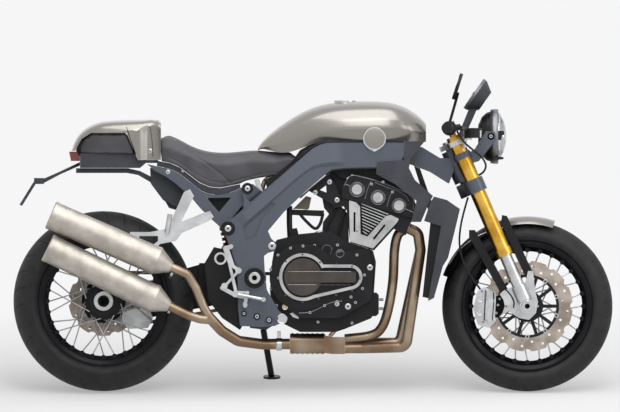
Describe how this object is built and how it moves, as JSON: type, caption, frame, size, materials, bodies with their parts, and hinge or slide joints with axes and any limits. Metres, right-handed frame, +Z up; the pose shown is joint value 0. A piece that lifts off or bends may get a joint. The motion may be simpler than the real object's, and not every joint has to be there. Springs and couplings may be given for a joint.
{
  "type": "cafe racer motorcycle",
  "caption": "Cafe racer motorcycle on its side stand, with wire wheels, inverted fork, twin-spar frame and stacked silencers; wheels spin, steering turns and the stand folds.",
  "frame": {"origin": "centre of the bounding box footprint, on the floor", "axes": "+X towards the front wheel, +Y to the rider's left, +Z up; the machine leans 10 degrees to the left on its side stand"},
  "size_m": [2.1099, 0.744, 1.1515],
  "materials": {
    "black_metal": "satin black",
    "black_rim": "gloss black",
    "bronze": "satin",
    "chain_steel": "oiled",
    "chrome_bar": "satin black",
    "dark_panel": "satin",
    "disc_steel": "ground",
    "engine_black": "satin black",
    "fork_gold": "anodised",
    "frame_paint": "metallic satin",
    "grip_rubber": "matt",
    "lamp_shell": "polished",
    "leather": "matt",
    "lens_glass": "clear",
    "machined": "machined",
    "mirror_shell": "satin black",
    "red_lens": "clear red",
    "silencer_steel": "bead blasted",
    "spring_red": "satin",
    "stainless": "satin",
    "steel_pipe": "heat tinted",
    "tank_paint": "metallic gloss",
    "tyre_rubber": "matt black rubber"
  },
  "bodies": {
    "chassis": {"cam_cover": "engine_black", "chain": "chain_steel", "clutch_cover": "engine_black", "clutch_insert": "bronze", "collector": "engine_black", "crankcase": "engine_black", "cylinder_block": "engine_black", "engine_trims": "stainless", "frame_members": "frame_paint", "frame_spar_left": "frame_paint", "frame_spar_right": "frame_paint", "fuel_cap": "machined", "fuel_tank": "tank_paint", "generator_cover": "engine_black", "headers": "steel_pipe", "passenger_hangers": "machined", "pivot_bolt": "machined", "radiator": "engine_black", "radiator_shrouds": "dark_panel", "rear_caliper": "machined", "rider_hanger_left": "machined", "rider_hanger_right": "machined", "seat": "leather", "seat_cowl": "tank_paint", "shock": "spring_red", "side_panels": "dark_panel", "silencers": "silencer_steel", "subframe": "frame_paint", "swingarm": "engine_black", "tail_lamp": "red_lens", "tail_pad": "leather", "tail_pipe": "steel_pipe", "undertray": "dark_panel"},
    "steering_gear": {"lower_clamp": "black_metal", "upper_clamp": "machined", "fork_outers": "fork_gold", "fork_inners": "machined", "front_axle": "machined", "front_calipers": "machined", "front_mudguard": "tank_paint", "handlebar": "chrome_bar", "grips": "grip_rubber", "hand_controls": "black_metal", "mirrors": "mirror_shell", "headlamp": "lamp_shell", "headlamp_lens": "lens_glass", "instruments": "dark_panel", "brake_hoses": "grip_rubber"},
    "front_wheel": {"front_tyre": "tyre_rubber", "front_rim": "black_rim", "front_spokes": "stainless", "front_hub": "black_metal", "front_discs": "disc_steel"},
    "rear_wheel": {"rear_tyre": "tyre_rubber", "rear_rim": "black_rim", "rear_spokes": "stainless", "rear_hub": "black_metal", "rear_disc": "disc_steel", "rear_sprocket": "stainless"},
    "stand": {"side_stand": "engine_black"}
  },
  "joints": [
    {"name": "steering", "type": "hinge", "parent": "chassis", "child": "steering_gear", "pos_m": [0.5313, -0.03258, 0.72897], "axis": [-0.3987, 0.1592, 0.9031], "range_deg": [-28, 28]},
    {"name": "front_wheel_spin", "type": "hinge", "parent": "steering_gear", "child": "front_wheel", "pos_m": [0.755, -0.10885, 0.29641], "axis": [0, 0.9848, -0.1736], "continuous": true},
    {"name": "rear_wheel_spin", "type": "hinge", "parent": "chassis", "child": "rear_wheel", "pos_m": [-0.738, -0.10577, 0.31388], "axis": [0, 0.9848, -0.1736], "continuous": true},
    {"name": "side_stand", "type": "hinge", "parent": "chassis", "child": "stand", "pos_m": [-0.17962, 0.05674, 0.21049], "axis": [0.0381, 0.9612, 0.2733], "range_deg": [0, 90]}
  ]
}
